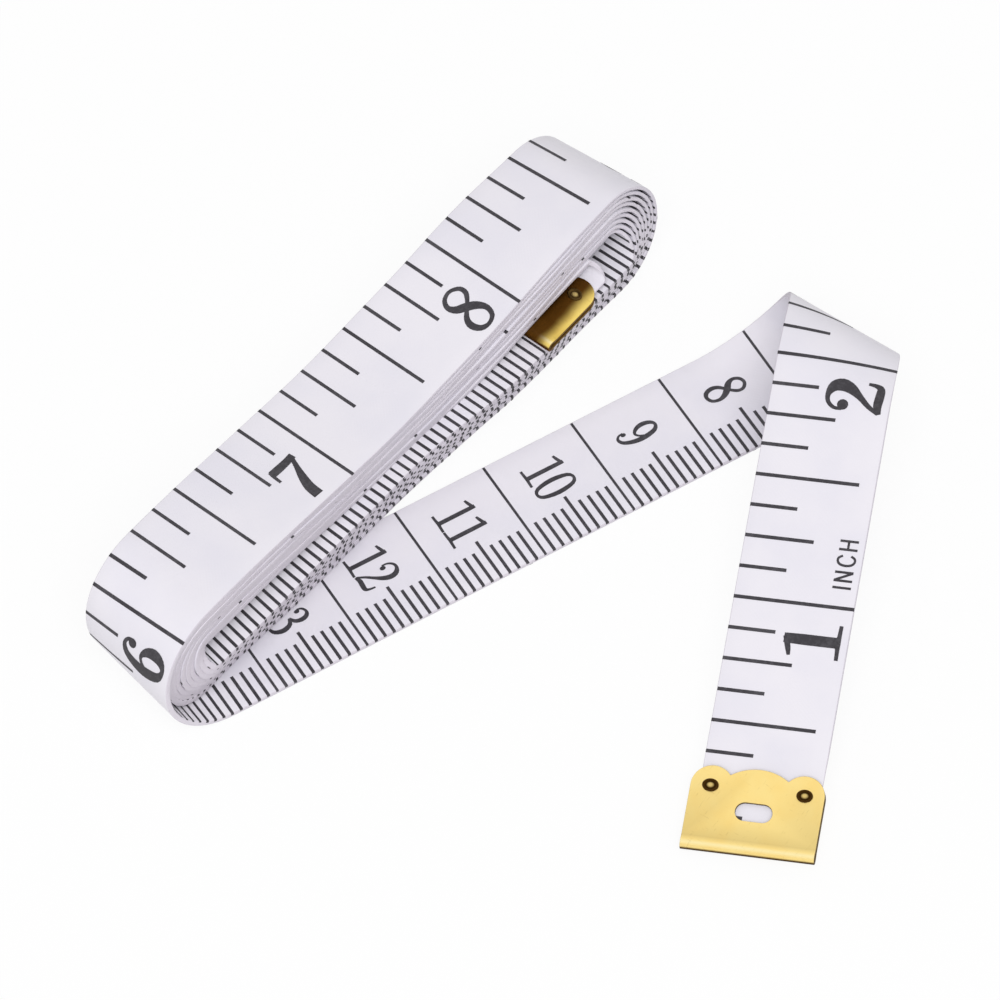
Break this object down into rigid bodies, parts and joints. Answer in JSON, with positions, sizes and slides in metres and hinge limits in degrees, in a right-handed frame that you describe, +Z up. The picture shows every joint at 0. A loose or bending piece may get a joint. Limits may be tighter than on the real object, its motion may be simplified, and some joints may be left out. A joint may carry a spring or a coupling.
{
  "type": "sewing tape measure",
  "caption": "Soft cloth tape measure wound into a flat oblong coil on its side, with a folded-back free end and scalloped brass end clips, marked in inches and centimetres.",
  "frame": {"origin": "centre of the bounding box's bottom face, on the table", "axes": "+X along the coil's straight runs, away from the loose outer end bend; +Y along the coil's winding axis, away from the free end; +Z up"},
  "size_m": [0.0748, 0.0694, 0.0136],
  "materials": {
    "tape_cloth": "white vinyl-coated woven glass cloth, satin, printed in dark grey on both faces",
    "clip_brass": "polished thin sheet brass with fine scratches"
  },
  "bodies": {
    "coil": {"tape_winding": "tape_cloth", "tape_tail": "tape_cloth", "inner_end_clip": "clip_brass", "inner_clip_rivet_1": "clip_brass", "inner_clip_rivet_2": "clip_brass"},
    "free_end": {"tape_free_end": "tape_cloth", "outer_end_clip": "clip_brass", "outer_clip_rivet_1": "clip_brass", "outer_clip_rivet_2": "clip_brass"}
  },
  "joints": [
    {"name": "fold", "type": "hinge", "parent": "coil", "child": "free_end", "pos_m": [0.03743, -0.00077, 0.00688], "axis": [-0.0715, 0.9974, 0], "range_deg": [0, 190]}
  ]
}
